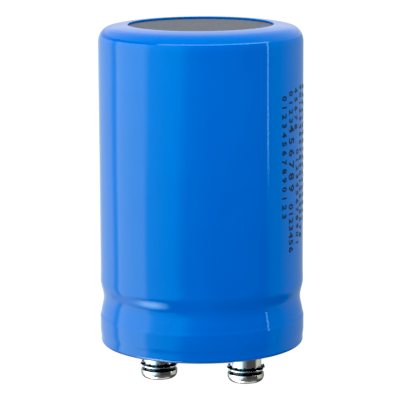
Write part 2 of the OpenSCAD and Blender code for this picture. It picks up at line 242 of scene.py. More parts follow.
light = put(sky, "ShaderNodeBackground", {"Color": seen, "Strength": 1.0})
put(sky, "ShaderNodeOutputWorld", {"Surface": light.outputs[0]})
scene.view_settings.view_transform = "Standard"
scene.view_settings.use_curve_mapping = True  # a small black level deepens the darkest tones
scene.view_settings.curve_mapping.black_level = BLACK_LEVEL
scene.view_settings.curve_mapping.update()
print("world has", len(sky.nodes), "nodes")

# %% [markdown]
# ## The floor
#
# Small parts are often taken on a lit white table, which leaves hardly any shadow. The floor is one
# flat sheet that glows almost to white, with a little ordinary white under it so that the part
# still darkens it where the two meet. Seen from below it is clear, so that the underside can be
# looked at.

# %% Floor
FLOOR_HALF = 3000.0
FLOOR_GLOW, FLOOR_WHITE = 0.985, 0.06  # the light it gives out, and the share it sends back

floor_mesh = bpy.data.meshes.new("floor")
floor_mesh.from_pydata([(x * FLOOR_HALF * MM, y * FLOOR_HALF * MM, 0.0)
                        for x, y in ((-1, -1), (1, -1), (1, 1), (-1, 1))], [], [(0, 1, 2, 3)])
floor = bpy.data.objects.new("floor", floor_mesh)
scene.collection.objects.link(floor)
floor.visible_glossy = floor.visible_diffuse = False
table_top = bpy.data.materials.new("lit_table")
table_top.use_nodes = True
tree = table_top.node_tree
tree.nodes.clear()
glow = put(tree, "ShaderNodeEmission", {"Color": grey(1.0), "Strength": FLOOR_GLOW})
matt = put(tree, "ShaderNodeBsdfDiffuse", {"Color": grey(FLOOR_WHITE)})
lit = put(tree, "ShaderNodeAddShader", {0: glow.outputs[0], 1: matt.outputs[0]})
from_below = put(tree, "ShaderNodeNewGeometry").outputs["Backfacing"]
clear = put(tree, "ShaderNodeMixShader", {0: from_below, 1: lit.outputs[0],
                                          2: put(tree, "ShaderNodeBsdfTransparent").outputs[0]})
put(tree, "ShaderNodeOutputMaterial", {"Surface": clear.outputs[0]})
floor_mesh.materials.append(table_top)
print("floor is", 2 * FLOOR_HALF * MM, "m wide")

# %% [markdown]
# ## Effects that several finishes share
#
# Drawn, turned and rolled metal all have fine lines, and most surfaces have faint scratches and
# cloudy differences in their shine. Each effect is a node group, built once, and every finish uses
# it with its own numbers. The groups give out only masks and heights, and each material keeps its
# own shader.

# %% Shared node groups
VECTOR, FLOAT = "NodeSocketVector", "NodeSocketFloat"


def shared(name, inputs, output):
    """A new group: its tree, the sockets that come in, and the one that its result goes to."""
    tree = bpy.data.node_groups.new(name, "ShaderNodeTree")
    for label, kind, value in inputs:
        socket = tree.interface.new_socket(label, in_out="INPUT", socket_type=kind)
        if value is not None:
            socket.default_value = value
    tree.interface.new_socket(output, in_out="OUTPUT", socket_type=FLOAT)
    return tree, put(tree, "NodeGroupInput").outputs, put(tree, "NodeGroupOutput").inputs[output]


def noise(tree, vector, scale=1.0, detail=3.0, roughness=0.55):
    """The grey value of a Noise texture."""
    inputs = {"Vector": vector, "Scale": scale, "Detail": detail, "Roughness": roughness}
    return put(tree, "ShaderNodeTexNoise", inputs).outputs[0]


def stretched(tree, vector, x, y, z):
    """A vector with each of its axes multiplied by its own number."""
    factors = put(tree, "ShaderNodeCombineXYZ", {0: x, 1: y, 2: z}).outputs[0]
    return put(tree, "ShaderNodeVectorMath", {0: vector, 1: factors},
               operation="MULTIPLY").outputs[0]


# streaks: noise pulled out along the third axis
streaks, given, result = shared("streaks", [("Vector", VECTOR, None), ("Across", FLOAT, 4000.0),
                                            ("Along", FLOAT, 100.0)], "Height")
pulled = stretched(streaks, given["Vector"], given["Across"], given["Across"], given["Along"])
streaks.links.new(noise(streaks, pulled), result)

# clouds: slow noise spread over the whole of 0 to 1
clouds, given, result = shared("clouds", [("Vector", VECTOR, None), ("Scale", FLOAT, 100.0),
                                          ("Detail", FLOAT, 3.0)], "Mask")
slow = noise(clouds, given["Vector"], given["Scale"], given["Detail"])
clouds.links.new(span(clouds, slow, 0.3, 0.7), result)
print("groups:", [g.name for g in bpy.data.node_groups])

# %% Turned rings and scratches
# turned: rings round the axis of whichever terminal is nearer, as a lathe tool leaves them
TERMINAL_X = 11.3
turned, given, result = shared("turned", [("Vector", VECTOR, None), ("Across", FLOAT, 9000.0),
                                          ("Around", FLOAT, 150.0)], "Height")
place = put(turned, "ShaderNodeSeparateXYZ", {0: given["Vector"]}).outputs
from_axis = maths(turned, "SUBTRACT", maths(turned, "ABSOLUTE", place["X"]), TERMINAL_X * MM)
flat = put(turned, "ShaderNodeCombineXYZ", {0: from_axis, 1: place["Y"]}).outputs[0]
radius = put(turned, "ShaderNodeVectorMath", {0: flat}, operation="LENGTH").outputs["Value"]
around = maths(turned, "MULTIPLY", maths(turned, "ARCTAN2", from_axis, place["Y"]), 0.004)
rings = put(turned, "ShaderNodeCombineXYZ", {0: radius, 1: place["Z"], 2: around}).outputs[0]
rings = stretched(turned, rings, given["Across"], given["Across"], given["Around"])
turned.links.new(noise(turned, rings), result)

# scratches: thin long ridges of two stretched noises that lie at different angles
scratches, given, result = shared("scratches", [("Vector", VECTOR, None), ("Scale", FLOAT, 900.0),
                                                ("Amount", FLOAT, 0.5)], "Mask")
marks = 0.0
for angles in ((0.5, 0.3, 0.2), (-0.6, 0.2, 1.4)):
    lay = put(scratches, "ShaderNodeVectorRotate", {"Vector": given["Vector"], "Rotation": angles},
              rotation_type="EULER_XYZ").outputs[0]
    thin = maths(scratches, "MULTIPLY", given["Scale"], 0.04)
    fine = noise(scratches, stretched(scratches, lay, given["Scale"], given["Scale"], thin),
                 detail=1.0)
    ridge = span(scratches, maths(scratches, "ABSOLUTE", maths(scratches, "SUBTRACT", fine, 0.5)),
                 0.0, 0.012, 1.0, 0.0)
    some = span(scratches, noise(scratches, given["Vector"], maths(scratches, "MULTIPLY",
                given["Scale"], 0.13), 2.0), 0.56, 0.62)
    marks = maths(scratches, "ADD", maths(scratches, "MULTIPLY", ridge, some), marks)
marks = put(scratches, "ShaderNodeClamp", {0: marks}).outputs[0]
scratches.links.new(maths(scratches, "MULTIPLY", marks, given["Amount"]), result)
print("groups:", [g.name for g in bpy.data.node_groups])

# %% Material helpers
def coat(name, **values):
    """A new material: its tree, its Principled shader with the values set, and the place on the piece."""
    material = bpy.data.materials.new(name)
    material.use_nodes = True
    tree = material.node_tree
    shader = tree.nodes["Principled BSDF"]
    for label, value in values.items():
        shader.inputs[label.replace("_", " ")].default_value = value
    return material, tree, shader, put(tree, "ShaderNodeTexCoord").outputs["Object"]


def use(tree, group, **values):
    """The result of a shared group, given its named inputs."""
    made = put(tree, "ShaderNodeGroup", node_tree=group)
    for label, value in values.items():
        if isinstance(value, bpy.types.NodeSocket):
            tree.links.new(value, made.inputs[label])
        else:
            made.inputs[label].default_value = value
    return made.outputs[0]


def raise_by(tree, shader, *layers):
    """Feeds the shader's normal with bumps, one over the other: (height, depth in mm) each."""
    normal = None
    for height, depth in layers:
        inputs = {"Height": height, "Strength": 1.0, "Distance": depth * MM}
        if normal is not None:
            inputs["Normal"] = normal
        normal = put(tree, "ShaderNodeBump", inputs).outputs[0]
    tree.links.new(normal, shader.inputs["Normal"])


print("material helpers ready")

# %% [markdown]
# ## A surface from a grid of points
#
# Every new piece here is a grid: rows of a section, carried round columns. A spin or a screw
# modifier could carry it, but a grid worked out as one numpy array can bend, wave and twist on the
# way. One function joins the grid into faces, closes its ends, and turns it the right way out.

# %% Grid to mesh
def skin(name, points, rows_close=False, columns_close=True, poles=(None, None), sharp=None):
    """Joins each four neighbours of a (rows, columns, 3) grid into a face. A pole is a point that the
    first or last row fans into. Open columns of closed rows are capped. The enclosed volume says
    whether the faces point outwards."""
    rows, columns = points.shape[:2]
    index = np.arange(rows * columns).reshape(rows, columns)
    caps = [] if columns_close else [index[:, 0].tolist(), index[::-1, -1].tolist()]
    if rows_close:
        index = np.vstack([index, index[:1]])
    if columns_close:
        index = np.hstack([index, index[:, :1]])
    faces = np.stack([index[:-1, :-1], index[:-1, 1:], index[1:, 1:], index[1:, :-1]], -1)
    faces = faces.reshape(-1, 4).tolist()
    vertices = [points.reshape(-1, 3)]
    for pole, edge in zip(poles, (index[0], index[-1][::-1])):
        if pole is not None:
            tip = np.full(len(edge) - 1, rows * columns + len(vertices) - 1)
            vertices.append(np.reshape(pole, (1, 3)))
            faces += np.stack([edge[1:], edge[:-1], tip], -1).tolist()
    mesh = bpy.data.meshes.new(name)
    mesh.from_pydata(np.vstack(vertices) * MM, [], faces + caps)
    solid = bmesh.new()
    solid.from_mesh(mesh)
    if solid.calc_volume(signed=True) < 0:
        mesh.flip_normals()
    solid.free()
    mesh.shade_smooth()
    if sharp is not None:
        mesh.set_sharp_from_angle(angle=np.radians(sharp))
    return mesh


print("grids become meshes")

# %% Piece and curve helpers
def piece(name, mesh, material, stands_for=()):
    """Makes the mesh a piece of the part: it rides on the root, and stands for CAD nodes."""
    mesh.materials.clear()
    mesh.materials.append(material)
    made = bpy.data.objects.new(name, mesh)
    scene.collection.objects.link(made)
    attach(made, "root")
    if stands_for:
        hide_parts(*stands_for)
    print(name, "has", sum(len(p.vertices) - 2 for p in mesh.polygons), "triangles")
    return made


def arc(centre, radii, start, end, steps):
    """Points of an ellipse's arc: centre plus each radius times the cosine and sine of the angle."""
    angles = np.radians(np.linspace(start, end, steps))
    return np.stack([centre[0] + radii[0] * np.cos(angles), centre[1] + radii[1] * np.sin(angles)], -1)


def line(start, end, steps):
    """Points spaced evenly from start to end."""
    return np.linspace(start, end, steps)


def trace(*runs):
    """Joins runs of points and drops each point that repeats the one before it."""
    joined = np.vstack(runs)
    keep = np.r_[True, np.linalg.norm(np.diff(joined, axis=0), axis=1) > 1e-5]
    return joined[keep]


print("piece and curve helpers ready")

# %% Rounded sections
def round_off(corners, radius, steps=5, lead=0.03):
    """A closed outline with each corner turned into an arc. The arc's ends lie radius / tan(half the
    corner's angle) away along the two sides, and a point just beyond each keeps the flats flat."""
    corners = np.asarray(corners, float)
    back = np.roll(corners, 1, 0) - corners
    ahead = np.roll(corners, -1, 0) - corners
    back /= np.linalg.norm(back, axis=1)[:, None]
    ahead /= np.linalg.norm(ahead, axis=1)[:, None]
    half = np.arccos(np.clip((back * ahead).sum(1), -1, 1)) / 2
    radius = np.broadcast_to(radius, half.shape)
    middle = back + ahead
    middle *= (radius / np.sin(half) / np.linalg.norm(middle, axis=1))[:, None]
    reach = (radius / np.tan(half))[:, None]
    first, last = back * reach - middle, ahead * reach - middle
    turn = np.pi - 2 * half
    t = np.linspace(0, 1, steps)[None, :, None]
    spread = np.sin(turn)[:, None, None]
    curve = (np.sin((1 - t) * turn[:, None, None]) * first[:, None]
             + np.sin(t * turn[:, None, None]) * last[:, None]) / spread
    curve += (corners + middle)[:, None]
    before = (corners + back * (reach + lead))[:, None]
    after = (corners + ahead * (reach + lead))[:, None]
    return np.concatenate([before, curve, after], 1).reshape(-1, 2)


def lathe(profile, columns, axis_x=0.0):
    """Carries (radius, height) points round an upright axis: x and y are the radius times the cosine
    and sine of the column's angle."""
    angle = np.linspace(0, 2 * np.pi, columns, endpoint=False)
    r, z = profile[:, :1], np.broadcast_to(profile[:, 1:], (len(profile), columns))
    return np.stack([axis_x + r * np.cos(angle), r * np.sin(angle), z], -1)


print("sections ready")

# %% [markdown]
# ## The sleeve
#
# The sleeve is a tube of blue PVC, shrunk on with hot air. It grips the wall, dips into the pressed
# bead, rolls over the shoulder and curls a little way under the rim. Shrinking never comes out
# perfect: the film is slightly wavy, swells a little below the bead, gathers where it turns under,
# and its cut edges are not quite round. It could be a copy of the can with Solidify and a
# Shrinkwrap, but one closed outline, carried round with the waves added to its radius, gives the
# thickness and the waves together.

# %% Sleeve outline
SLEEVE_R, CAN_R = 25.7, 25.4
OPENING_R, SLEEVE_TOP = 18.2, 91.3
SHOULDER_R, SHOULDER_Z, SHOULDER_TOP = 22.4, 86.9, 90.8
BEAD_Z, BEAD_WIDTH, BEAD_DEPTH = 22.05, 9.6, 0.85
RIM_R, RIM_Z, RIM_BOTTOM, FOOT_BOTTOM, FOOT_R, FOOT_TURN = 24.2, 11.9, 10.7, 10.2, 23.4, 1.0
CREASE_Z, CREASE_DEPTH, SWELL = 17.95, 0.24, 0.2
LIP_PULL, LIP_END = (21.19, 91.188), (23.086, 90.715)  # the flat curve from the opening's lip
DISC_R, DISC_TOP = 19.5, 90.7
WALL_TOP_R = 22.2  # where the can's shoulder begins


def beaded(radius, z, crease=0.0):
    """A wall drawn in by a cosine wave, depth times half of one plus the cosine, and drawn in again
    above the crease, by a steep sigmoid of the height that dies away within two millimetres."""
    inside = np.abs(z - BEAD_Z) < BEAD_WIDTH / 2
    dip = BEAD_DEPTH * (1 + np.cos(2 * np.pi * (z - BEAD_Z) / BEAD_WIDTH)) / 2
    step = 1 / (1 + np.exp((CREASE_Z - z) / 0.18)) * np.exp(-np.clip(z - CREASE_Z, 0, None) / 1.3)
    return np.stack([radius - np.where(inside, dip + crease * step, 0.0), z], -1)


def bend(start, pull, end, steps):
    """A quadratic Bezier: the three points weighted by (1-t) squared, 2t(1-t) and t squared."""
    t = np.linspace(0, 1, steps)[:, None]
    return (1 - t) ** 2 * np.array(start) + 2 * t * (1 - t) * np.array(pull) + t ** 2 * np.array(end)


bead_top, bead_foot = BEAD_Z + BEAD_WIDTH / 2, BEAD_Z - BEAD_WIDTH / 2
close_rows = np.arange(CREASE_Z + 1.6, bead_foot, -0.05)  # the crease needs them
bead_rows = np.r_[line(bead_top, CREASE_Z + 1.65, 42), close_rows, bead_foot]
foot_centre = (SLEEVE_R - FOOT_TURN, FOOT_BOTTOM + FOOT_TURN)
outside = trace(
    arc((OPENING_R + 0.2, SLEEVE_TOP - 0.2), (0.2, 0.2), 180, 96, 6),
    bend((OPENING_R + 0.25, SLEEVE_TOP), LIP_PULL, LIP_END, 24),
    arc((SHOULDER_R, SHOULDER_Z), (SLEEVE_R - SHOULDER_R, SHOULDER_TOP - SHOULDER_Z), 78, 0, 40),
    line((SLEEVE_R, SHOULDER_Z - 0.4), (SLEEVE_R, bead_top + 0.4), 26),
    beaded(SLEEVE_R, bead_rows, CREASE_DEPTH),
    line((SLEEVE_R, bead_foot - 0.3), (SLEEVE_R, foot_centre[1]), 10),
    arc(foot_centre, (FOOT_TURN, FOOT_TURN), 0, -90, 16),
    arc((FOOT_R + 0.12, FOOT_BOTTOM + 0.12), (0.12, 0.12), -90, -180, 5))
inside = trace(
    line((FOOT_R, RIM_BOTTOM), (RIM_R, RIM_BOTTOM), 3),
    arc((RIM_R, RIM_Z), (CAN_R - RIM_R, RIM_Z - RIM_BOTTOM), -90, 0, 8),
    beaded(CAN_R, line(bead_foot, bead_top, 21)),
    arc((WALL_TOP_R, SHOULDER_Z), (CAN_R - WALL_TOP_R, SHOULDER_TOP - 0.4 - SHOULDER_Z), 0, 90, 10),
    line((DISC_R, DISC_TOP), (OPENING_R, DISC_TOP), 3))
print("sleeve outline:", len(outside), "points outside and", len(inside), "inside")

# %% Sleeve surface
SLEEVE_COLUMNS = 320


def waves(angle, z):
    """How far the film stands off its true radius: slow waves round the can, each of which leans and
    swells with height, multiplied into a few hundredths of a millimetre."""
    return (0.016 * np.sin(5 * angle + 0.035 * z + 0.6) * np.cos(0.052 * z + 0.4)
            + 0.011 * np.sin(9 * angle - 0.05 * z + 2.1) * np.cos(0.11 * z)
            + 0.006 * np.sin(17 * angle + 0.09 * z)) - 0.02


def smooth_step(t):
    """Three t squared less two t cubed, held at nought and one beyond them."""
    t = np.clip(t, 0, 1)
    return t * t * (3 - 2 * t)


def sleeve_points():
    """The closed outline carried round. Outside, the radius takes the waves, and a swell between the
    foot and the bead that comes and goes by smooth steps of the height. Near the foot it takes small
    gathers that fade 3 mm up, and both cut edges wander by a tenth of a millimetre."""
    profile = np.vstack([outside, inside])
    outer = np.r_[np.ones(len(outside)), np.zeros(len(inside))][:, None]
    angle = np.linspace(0, 2 * np.pi, SLEEVE_COLUMNS, endpoint=False)[None]
    r, z = profile[:, :1], profile[:, 1:]
    wall = np.clip((SHOULDER_Z + 3 - z) / 6, 0, 1) * np.clip((z - RIM_BOTTOM) / 2, 0, 1)
    gathers = 0.5 + 0.5 * np.sin(38 * angle + 3 * np.sin(3 * angle))
    low = np.clip((13.2 - z) / 3, 0, 1) ** 2
    swell = SWELL * smooth_step((30 - z) / 9) * smooth_step((z - 11.8) / 2.4)
    shift = outer * (waves(angle, z) * wall + swell - 0.015 * gathers * low)
    at_foot = (z < 11) * np.clip((RIM_R - r) / 0.8, 0, 1)
    at_opening = (z > 90) * np.clip((19.4 - r) / 1.2, 0, 1)
    shift = shift + at_foot * (0.10 * np.sin(7 * angle + 1) + 0.05 * np.sin(19 * angle))
    shift = shift + at_opening * (0.05 * np.sin(4 * angle + 2) + 0.02 * np.sin(13 * angle))
    r = r + shift
    return np.stack([r * np.cos(angle), r * np.sin(angle), z + 0 * angle], -1)


sleeve_grid = sleeve_points()
print("sleeve grid:", sleeve_grid.shape)

# %% [markdown]
# ## Blue PVC
#
# The film is dyed right through, smooth and glossy, with a faint orange peel from shrinking and a
# few hairline rubs. A strong blue plastic sends back a bluish glint when it is looked at squarely
# and a white one at a glancing angle, which is what the specular tint does. The blue is painted
# paler with height, as painted light for the soft light that falls off towards the foot, and a slow mask
# shifts colour and shine.

# %% Sleeve finish
pvc, tree, shader, place = coat("blue_pvc", IOR=1.53, Specular_Tint=(0.55, 0.95, 1.0, 1.0))
cloud = use(tree, clouds, Vector=place, Scale=70.0)
level = put(tree, "ShaderNodeSeparateXYZ", {0: place}).outputs["Z"]
# painted light: the height ramp makes the blue paler upwards for the soft light that falls off towards the
# foot; the cloud is the film's own uneven tone
random_tone_and_painted_top_light = maths(tree, "MULTIPLY_ADD", cloud, 0.3, span(tree, level, 0.010, 0.080, 0.0, 0.7))
tree.links.new(blend_colours(tree, random_tone_and_painted_top_light, (0.0, 0.143, 0.665, 1), (0.0, 0.184, 0.785, 1)),
               shader.inputs["Base Color"])
rubs = use(tree, scratches, Vector=place, Scale=500.0, Amount=0.12)
shine = span(tree, use(tree, clouds, Vector=place, Scale=160.0), 0.0, 1.0, 0.055, 0.085)
tree.links.new(maths(tree, "ADD", shine, rubs), shader.inputs["Roughness"])
peel = noise(tree, place, 550.0, 2.0)
raise_by(tree, shader, (peel, 0.004))
piece("sleeve_film", skin("sleeve_film", sleeve_grid, rows_close=True), pvc, ["sleeve"])

# %% [markdown]
# ## The printing
#
# Ratings are printed down the side, in lines that read from the top to the foot. Here they are
# plain figures that count up and mean nothing. Printing could be a mask in the sleeve's material,
# but figures built as thin solid ink keep clean edges at any distance. A text object gives their
# outlines; they are cut into narrow strips, and each point is then wrapped round the sleeve. Each
# line has its own size and spacing.

# %% Printed figures
PRINT_TOP = 75.0  # height where the lines begin
PRINT_START = np.radians(50.4) + CAMERA_TURN  # the first line's foot, round from the front
INK_PROUD, INK_SUNK, INK_SWELL, INK_STRIP = 0.018, 0.03, 0.1, 0.4
# (figures, their size, their spacing, way down from the top, way round from the first line)
PRINT_LINES = [("01234567890123", 2.45, 1.84, 0.0, 0.0), ("0123", 2.45, 1.84, -0.9, 3.0),
               ("456789", 3.7, 1.6, 7.6, 2.95), ("0123456", 2.9, 1.24, 27.2, 3.0),
               ("45678", 2.45, 1.84, -1.4, 5.9), ("012345678901", 2.45, 1.7, 14.0, 6.9),
               ("90123456789012345678", 2.45, 1.6, -1.8, 9.4), ("345678901234567890", 2.45, 1.6, -1.6, 12.3),
               ("789012345678901", 2.45, 1.84, -1.2, 15.3), ("1234567890", 2.45, 1.84, 0.0, 18.3)]

cutter = bmesh.new()
for figures, size, spacing, down, round_mm in PRINT_LINES:
    words = bpy.data.curves.new("figures", "FONT")
    words.body, words.size, words.space_character = figures, size, spacing
    words.extrude, words.offset, words.resolution_u = 0.1, INK_SWELL, 3
    writer = bpy.data.objects.new("figures", words)
    scene.collection.objects.link(writer)
    bpy.context.view_layer.update()
    written = writer.evaluated_get(bpy.context.evaluated_depsgraph_get())
    line_mesh = bpy.data.meshes.new_from_object(written)
    bpy.data.objects.remove(writer)
    line_mesh.transform(Matrix.Translation((down, round_mm, 0.0)))
    cutter.from_mesh(line_mesh)
    bpy.data.meshes.remove(line_mesh)
bmesh.ops.remove_doubles(cutter, verts=cutter.verts, dist=1e-5)
low = min(v.co.y for v in cutter.verts)
high = max(v.co.y for v in cutter.verts)
for level in np.arange(low + INK_STRIP, high, INK_STRIP):
    everything = cutter.verts[:] + cutter.edges[:] + cutter.faces[:]
    bmesh.ops.bisect_plane(cutter, geom=everything, plane_co=(0, level, 0), plane_no=(0, 1, 0))
ink_mesh = bpy.data.meshes.new("figures")
cutter.to_mesh(ink_mesh)
cutter.free()
print("figures:", len(ink_mesh.vertices), "points,", len(PRINT_LINES), "lines")

# %% Wrap the figures
def wrap_round(mesh):
    """Lines run down the sleeve and their tops lie to the right: the height is the top less the way
    along the line, the angle grows by the way up the page over the radius, and the ink's two faces
    lie just above and below the film's own waves."""
    flat = np.empty(len(mesh.vertices) * 3, np.float32)
    mesh.vertices.foreach_get("co", flat)
    along, up, out = flat.reshape(-1, 3).T.astype(float)
    z = PRINT_TOP - along
    angle = PRINT_START + (up - up.min()) / SLEEVE_R
    round_x = angle - np.pi / 2  # the same angle, counted from the x axis
    r = SLEEVE_R + waves(round_x, z) + np.where(out > 0, INK_PROUD, -INK_SUNK)
    points = np.stack([r * np.sin(angle), -r * np.cos(angle), z], -1) * MM
    mesh.vertices.foreach_set("co", points.astype(np.float32).ravel())
    mesh.update()


wrap_round(ink_mesh)
ink, tree, shader, place = coat("printing_ink", Roughness=0.42, IOR=1.5)
cloud = use(tree, clouds, Vector=place, Scale=900.0)
tree.links.new(blend_colours(tree, cloud, (0.002, 0.005, 0.022, 1), (0.004, 0.010, 0.04, 1)),
               shader.inputs["Base Color"])
raise_by(tree, shader, (noise(tree, place, 3000.0), 0.003))
ink_mesh.shade_flat()
piece("printed_figures", ink_mesh, ink)

# %% [markdown]
# ## Bright metals
#
# The screws are nickel plated steel, the plain washers zinc plated, and the posts, the can and the
# tabs plain aluminium. The split and star washers are spring steel painted near black, as painted
# shade for the shadow and dark reflections between head and post. Metal keeps the marks of its making, even
# under
# plating: turned rings, press marks, small pits. So every metal takes its lines from a shared group, at its
# own scale, and its shine from slow clouds and scratches.

# %% Metal finishes
def metal(name, dark, light, rough, lines, depth, edge=0.8):
    """A metal whose colour runs between dark and light and whose roughness runs over a range.
    lines(tree, place) gives the height of its tool marks, depth is how deep they are in mm, and
    edge is how much of the light it keeps when it is looked at almost edge on."""
    material, tree, shader, place = coat(name, Metallic=1.0, Specular_Tint=grey(edge))
    cloud = use(tree, clouds, Vector=place, Scale=350.0)
    tree.links.new(blend_colours(tree, cloud, (*dark, 1), (*light, 1)), shader.inputs["Base Color"])
    marks = use(tree, scratches, Vector=place, Scale=900.0, Amount=0.15)
    tree.links.new(maths(tree, "ADD", span(tree, cloud, 0, 1, *rough), marks),
                   shader.inputs["Roughness"])
    raise_by(tree, shader, (lines(tree, place), depth))
    return material


print("a metal takes its colours, its shine and its tool marks")

# %% Tool marks
def turned_lines(tree, place):
    """Rings round the terminal's axis."""
    return use(tree, turned, Vector=place)


def drawn_lines(tree, place):
    """Lines up and down, as the die leaves them on a drawn can."""
    return use(tree, streaks, Vector=place, Across=2500.0, Along=60.0)


def rolled_lines(tree, place):
    """The close lines of rolled strip."""
    return use(tree, streaks, Vector=place, Across=6000.0, Along=200.0)


def pressed_lines(tree, place):
    """The fine even grain that a press and a plating bath leave."""
    return use(tree, streaks, Vector=place, Across=3500.0, Along=3500.0)


print("tool marks: turned, drawn, rolled, pressed")

# %% The metals
nickel = metal("nickel_plate", (0.72, 0.70, 0.67), (0.82, 0.80, 0.77), (0.10, 0.16), turned_lines,
               0.0015, edge=0.15)
zinc = metal("zinc_plate", (0.70, 0.71, 0.72), (0.80, 0.81, 0.82), (0.14, 0.22), pressed_lines, 0.002)
# painted shade: the split and star washers get a near-black colour that stands in for the shadow and dark
# reflections between head and post
washer_metal_painted_dark = metal("washer_steel_in_painted_shade", (0.028, 0.030, 0.036), (0.07, 0.072, 0.08), (0.14, 0.24),
                     pressed_lines, 0.003)
turned_aluminium = metal("turned_aluminium", (0.80, 0.80, 0.80), (0.88, 0.88, 0.89), (0.12, 0.2),
                         turned_lines, 0.002)
drawn_aluminium = metal("drawn_aluminium", (0.76, 0.77, 0.78), (0.86, 0.86, 0.87), (0.22, 0.34),
                        drawn_lines, 0.003)
rolled_aluminium = metal("rolled_aluminium", (0.80, 0.80, 0.81), (0.88, 0.88, 0.89), (0.2, 0.3),
                         rolled_lines, 0.002)
for names, material in ((["can"], drawn_aluminium),
                        (["terminal_post_left", "terminal_post_right"], turned_aluminium),
                        (["rivet_washer_left", "rivet_washer_right", "tab_left", "tab_right"],
                         rolled_aluminium)):
    for name in names:
        nodes[name].material_slots[0].material = material
print("metals:", [m.name for m in (nickel, zinc, washer_metal_painted_dark, turned_aluminium, drawn_aluminium,
                                   rolled_aluminium)])

# %% [markdown]
# ## The screws
#
# Pan-head machine screws with a cross recess hold the leads on. The recess, the head's rounded
# edge and the rolled thread are what an eye picks out. A boolean could cut the recess and a Screw
# modifier the thread. One grid does both cleanly: its columns follow the cross, open out into a
# circle over the head, and go on down the shank, where the radius follows the thread's ridge.

# %% Screw shape
HEAD_R, HEAD_H, HEAD_EDGE = 4.625, 2.3, 1.5
CROSS_HALF, CROSS_SLOT, CROSS_DEPTH, CROSS_FLOOR = 2.4, 0.55, 1.6, 1.0
THREAD_R, THREAD_ROOT, THREAD_PITCH, SCREW_END = 2.4, 2.0, 0.8, 11.8


def cross_outline(half, slot, corner=0.12):
    """A quarter of the cross goes out along one side of an arm, round its tip and back, and turning
    it by quarter turns gives the rest."""
    side = np.linspace(slot, half - corner, 8, endpoint=False)
    tip = np.radians(np.linspace(-90, 0, 5))
    right = np.stack([half - corner + corner * np.cos(tip), -slot + corner + corner * np.sin(tip)], -1)
    lower = np.vstack([np.stack([side, np.full(8, -slot)], -1), right])
    upper = (lower * [1, -1])[::-1]
    arm = np.vstack([lower, upper])[:-1]
    turns = np.array([[1, 1j, -1, -1j]]).T
    whole = (turns * (arm[:, 0] + 1j * arm[:, 1])[None]).ravel()
    return np.stack([whole.real, whole.imag], -1)


print("the cross has", len(cross_outline(CROSS_HALF, CROSS_SLOT)), "points")

# %% Screw rings
def screw_points(axis_x):
    """Rings from the recess's floor to its mouth, out over the head as circles, round its edge, in
    to the shank, and along the thread, where the radius is the root plus the ridge's height times a
    triangle wave of (height over pitch, less the share of a turn)."""
    mouth = cross_outline(CROSS_HALF, CROSS_SLOT)
    count = len(mouth)
    start = np.arctan2(mouth[0, 1], mouth[0, 0])
    angle = start + 2 * np.pi * np.arange(count) / count
    circle = np.stack([np.cos(angle), np.sin(angle)], -1)
    floor_r = np.minimum(np.linalg.norm(mouth, axis=1), CROSS_FLOOR)
    floor_outline = mouth * (floor_r / np.linalg.norm(mouth, axis=1))[:, None] * 0.96
    rings = [np.c_[floor_outline * share, np.full(count, CROSS_DEPTH)] for share in (0.5, 0.95, 1.0)]
    rings += [np.c_[floor_outline + (mouth - floor_outline) * t, np.full(count, CROSS_DEPTH * (1 - t))]
              for t in (0.04, 0.35, 0.65, 0.93)]
    rings += [np.c_[mouth * 1.012, np.full(count, 0.03)], np.c_[mouth * 1.04, np.full(count, 0.004)]]
    for share in (0.3, 0.6, 0.85):
        rings.append(np.c_[mouth * (1 - share) + circle * 3.0 * share, np.full(count, 0.0)])
    edge = arc((HEAD_R - HEAD_EDGE, HEAD_EDGE), (HEAD_EDGE, HEAD_EDGE), -90, 0, 12)
    side = trace(edge, arc((HEAD_R - 0.1, HEAD_H - 0.1), (0.1, 0.1), 0, 90, 4),
                 line((4.4, HEAD_H), (2.7, HEAD_H), 3), line((THREAD_R, HEAD_H), (THREAD_ROOT, 2.6), 2))
    rings += [np.c_[circle * r, np.full(count, z)] for r, z in side]
    z = np.arange(2.7, SCREW_END - 0.5, THREAD_PITCH / 8)[:, None]
    wave = np.abs(((z / THREAD_PITCH - angle[None] / (2 * np.pi)) % 1) * 2 - 1)
    fade = np.clip((z - 2.7) / 0.5, 0, 1) * np.clip((SCREW_END - 0.5 - z) / 0.6, 0, 1)
    ridge = THREAD_ROOT + (THREAD_R - THREAD_ROOT) * np.clip(wave * 1.3 - 0.15, 0, 1) * fade
    thread = np.stack([ridge * circle[:, 0], ridge * circle[:, 1], z + 0 * ridge], -1)
    rings += [*thread, np.c_[circle * 1.6, np.full(count, SCREW_END - 0.05)],
              np.c_[circle * 1.5, np.full(count, SCREW_END)]]
    points = np.array(rings)
    points[..., 0] += axis_x
    return points


print("one screw's grid:", screw_points(TERMINAL_X).shape)

# %% Both screws
for side, sign in (("left", -1), ("right", 1)):
    axis_x = sign * TERMINAL_X
    mesh = skin(f"pan_screw_{side}", screw_points(axis_x), sharp=38,
                poles=((axis_x, 0, CROSS_DEPTH), (axis_x, 0, SCREW_END)))
    piece(f"pan_screw_{side}", mesh, nickel, [f"screw_{side}"])

# %% [markdown]
# ## The washers
#
# Three washers lie between each head and its post: a split spring washer, a plain washer and a star
# washer whose twisted teeth bite. Stamped washers have a rounded edge and a square one, which
# catch the light differently. Each is a rounded section carried round the screw; the split one stops
# short of a full turn at a slanted cut, and the star's outline is its own curve, twisted at the tips.

# %% Plain and split washers
WASHER_IN = 2.55
LOCK_R, LOCK_Z, LOCK_T = 4.25, 2.3, 0.8
FLAT_R, FLAT_Z, FLAT_T = 4.5, 3.1, 0.45


def box_outline(r_in, r_out, z, t):
    """The four corners of a washer's section."""
    return [(r_in, z), (r_out, z), (r_out, z + t), (r_in, z + t)]


